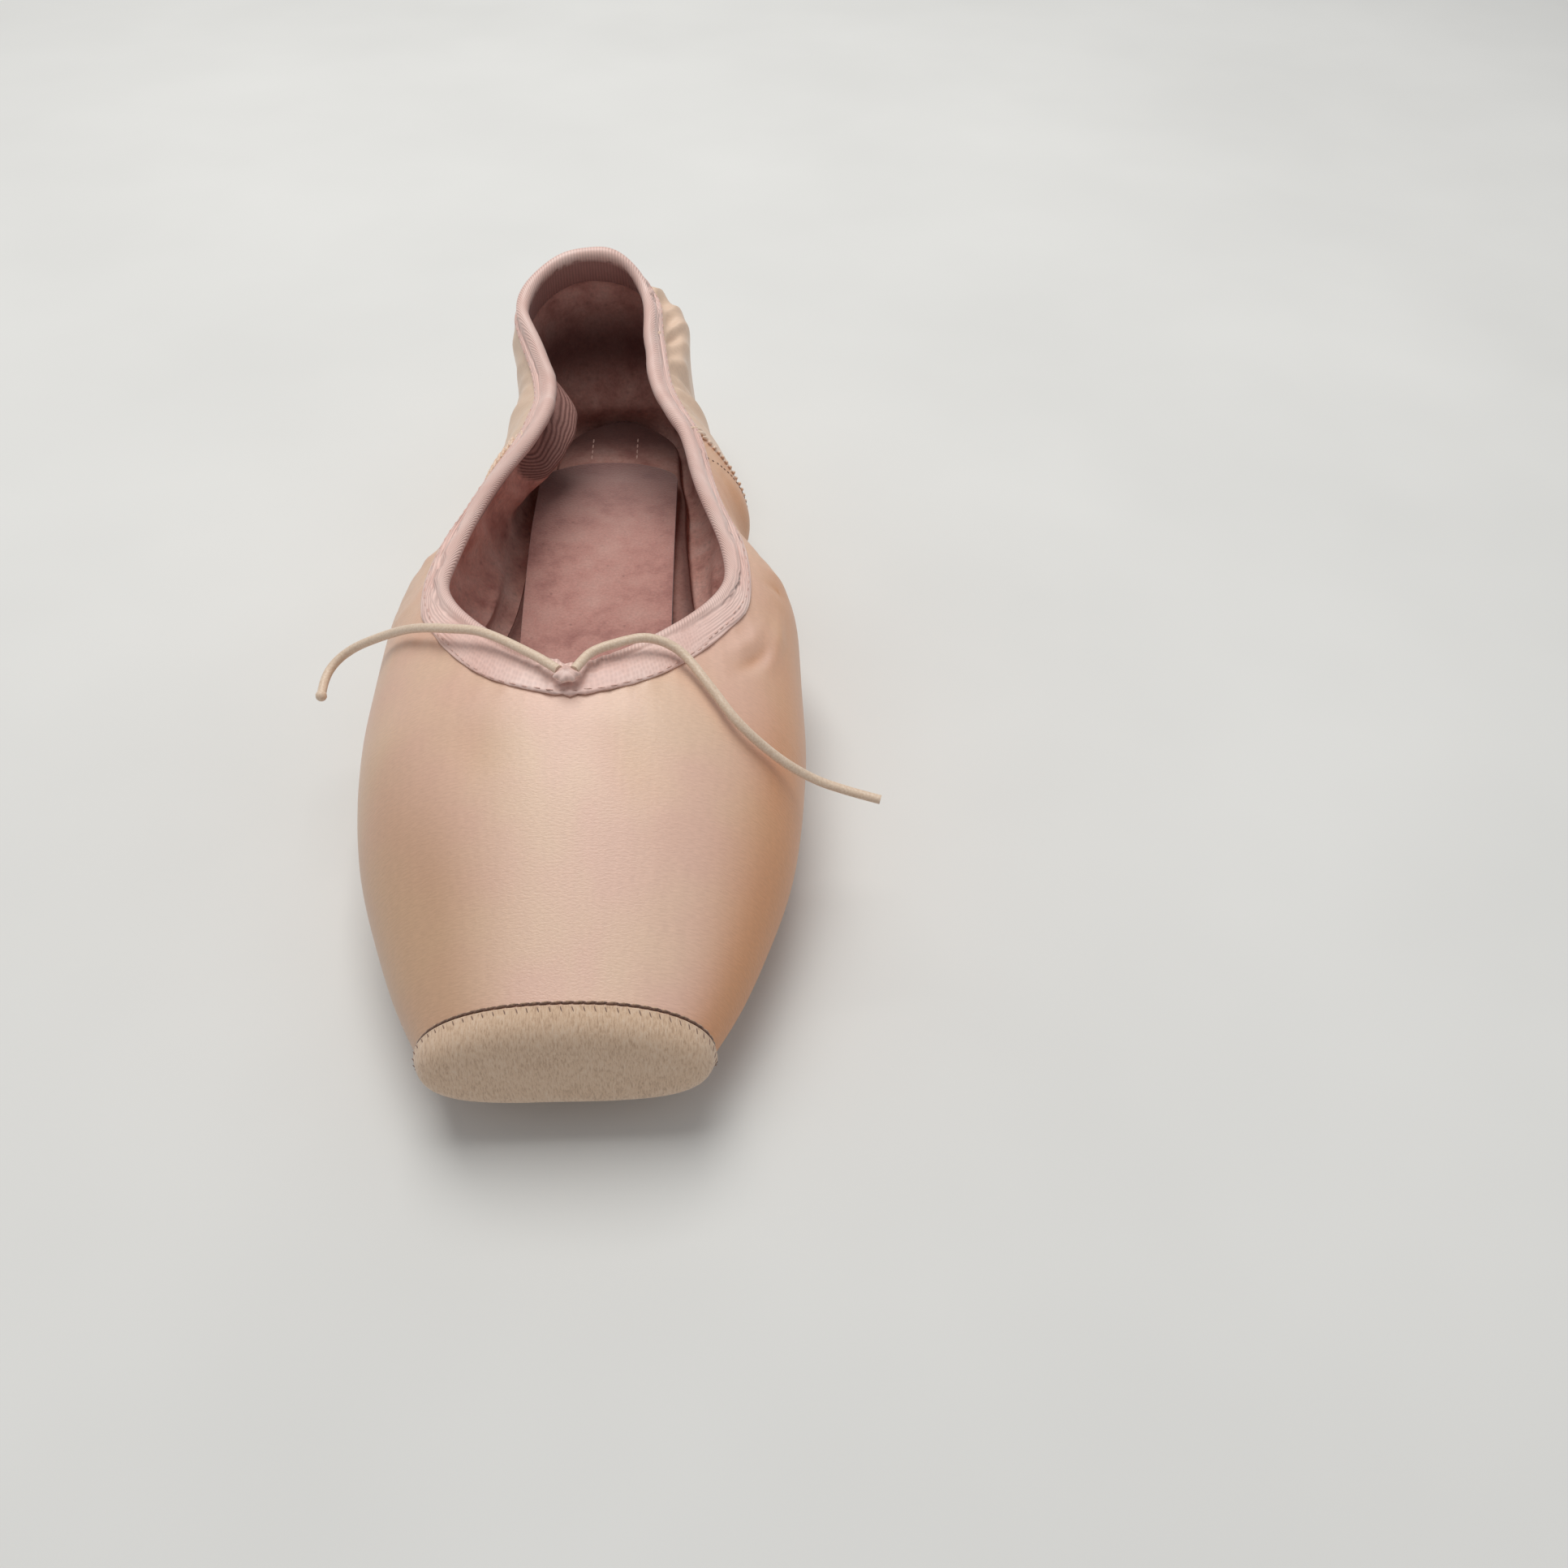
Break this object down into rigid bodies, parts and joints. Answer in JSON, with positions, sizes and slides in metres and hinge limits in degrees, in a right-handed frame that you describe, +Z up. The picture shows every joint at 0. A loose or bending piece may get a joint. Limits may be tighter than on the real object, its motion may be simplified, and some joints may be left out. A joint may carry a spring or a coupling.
{
  "type": "pointe shoe",
  "caption": "Satin pointe shoe with a stiff toe box and flat suede tip, a bound collar with a drawstring, a narrow leather outsole and a raised sock pad.",
  "frame": {"origin": "on the floor under the middle of the shoe's length and width, as it stands on its sole", "axes": "+Y from the toe to the heel, +Z up from the floor, +X to the right of someone who looks from the toe to the heel"},
  "size_m": [0.1116, 0.2285, 0.0601],
  "materials": {
    "satin": "peach satin with a soft sheen",
    "suede": "napped suede",
    "sole_leather": "plain buffed leather",
    "lining": "brushed lining cloth",
    "tape": "folded twill tape",
    "cord": "woven cotton cord"
  },
  "bodies": {
    "root": {"upper": "satin", "toe_patch": "suede", "heel_strip": "satin", "outsole": "sole_leather", "insole": "lining", "sock_pad": "lining", "binding": "tape", "drawstring_left": "cord", "drawstring_right": "cord"}
  },
  "joints": []
}
